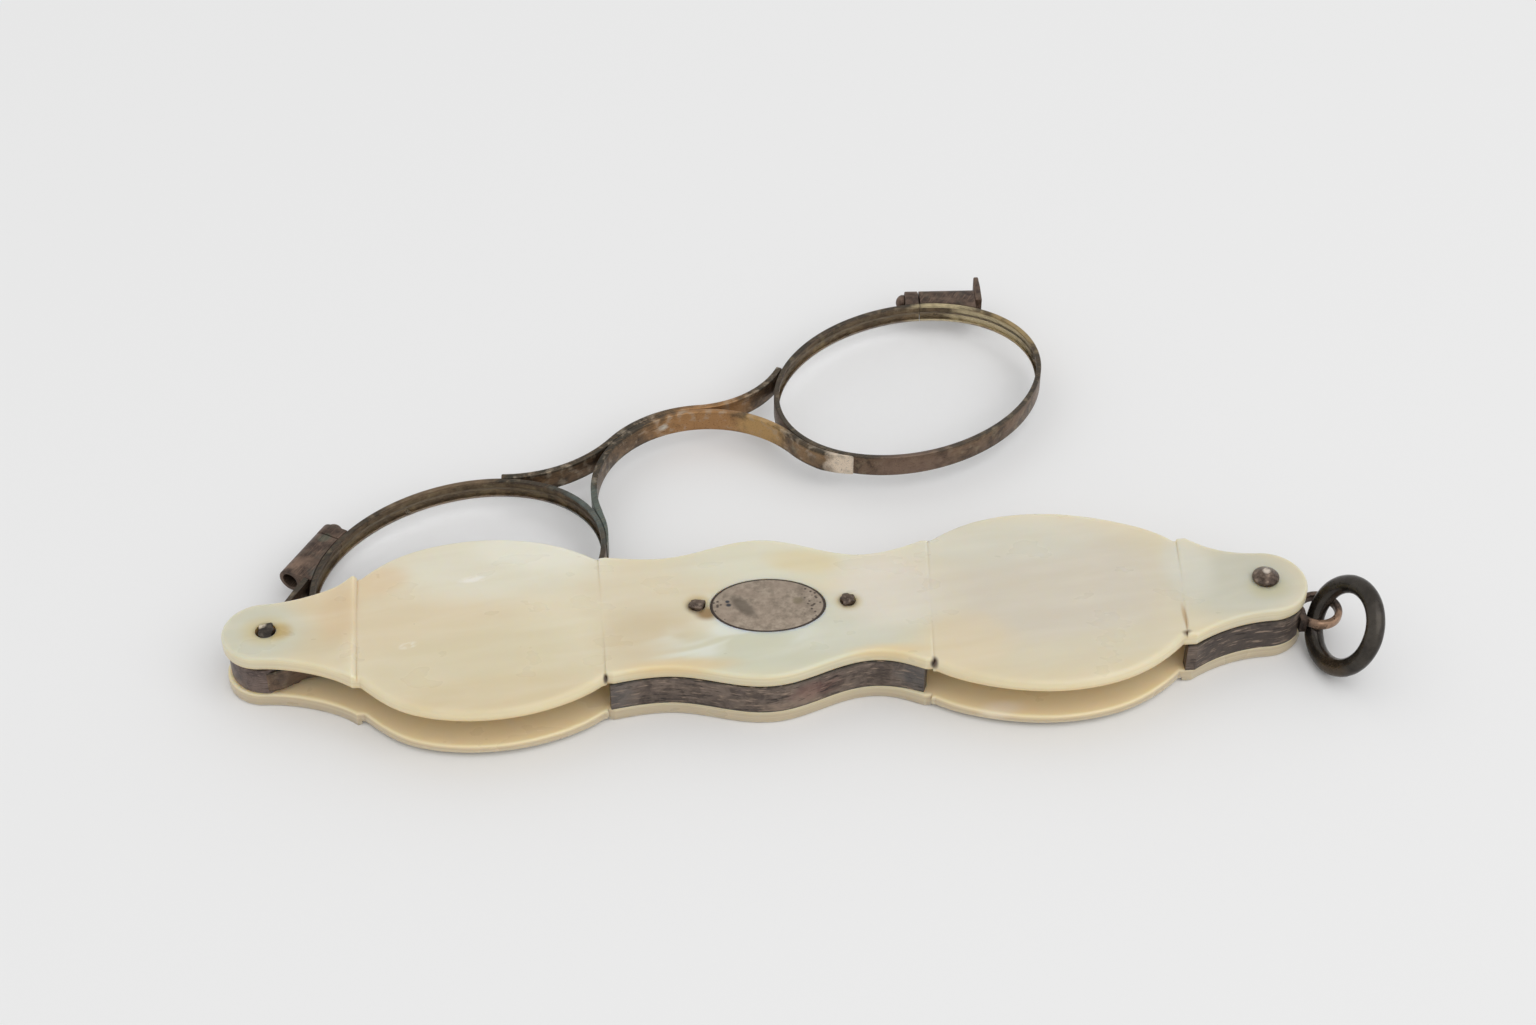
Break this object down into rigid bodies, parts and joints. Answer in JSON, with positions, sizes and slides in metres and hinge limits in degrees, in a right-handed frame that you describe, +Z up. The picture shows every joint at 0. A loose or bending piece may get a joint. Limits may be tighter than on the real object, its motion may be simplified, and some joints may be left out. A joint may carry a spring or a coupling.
{
  "type": "lorgnette",
  "caption": "Folding lorgnette: pearl handle of two scales, oval eye wires with a nose arch swinging out of the slot on a pivot pin, hanging ring at the tail.",
  "frame": {"origin": "on the surface it lies on, under the handle's middle, halfway between the two lens centres of the closed frame", "axes": "+X along the handle from the pivot pin to the hanging ring, +Y to the side the lens frame swings out, +Z up through the scales"},
  "size_m": [0.1289, 0.0753, 0.0105],
  "materials": {
    "pearl": "polished cream shell with a soft lustre",
    "plate_silver": "dull, finely pitted",
    "spacer_silver": "oxidised dark, fine lengthwise scratches",
    "copper_silver": "worn to a coppery brown",
    "ring_metal": "dark oxidised, smooth",
    "pin_metal": "dark, worn",
    "dark_silver": "oxidised brown-grey with brassy worn spots",
    "lens_glass": "clear, polished"
  },
  "bodies": {
    "handle": {"top_scale": "pearl", "bottom_scale": "pearl", "name_plate": "plate_silver", "centre_spacer": "spacer_silver", "end_spacer": "spacer_silver", "ring_eye": "copper_silver", "pivot_pin": "pin_metal", "tail_pin": "dark_silver", "centre_rivets": "dark_silver"},
    "lens_frame": {"hinge_knuckle": "spacer_silver", "front_strap": "dark_silver", "back_strap": "dark_silver", "near_rim": "dark_silver", "far_rim": "dark_silver", "nose_arch": "dark_silver", "nose_brace": "dark_silver", "near_barrel": "dark_silver", "far_barrel": "dark_silver", "near_cap_lug": "dark_silver", "far_cap_lug": "dark_silver", "near_screw": "dark_silver", "far_screw": "dark_silver", "nail_lug": "dark_silver", "near_lens": "lens_glass", "far_lens": "lens_glass"},
    "ring": {"hanging_ring": "ring_metal"}
  },
  "joints": [
    {"name": "frame_swing", "type": "hinge", "parent": "handle", "child": "lens_frame", "pos_m": [-0.05545, 0, 0.00375], "axis": [0, 0, 1], "range_deg": [-27.7, 151.5]},
    {"name": "ring_swing", "type": "hinge", "parent": "handle", "child": "ring", "pos_m": [0.06305, -0.00142, 0.00375], "axis": [0.3389, 0.4603, 0.8205], "range_deg": [-30, 130]}
  ]
}
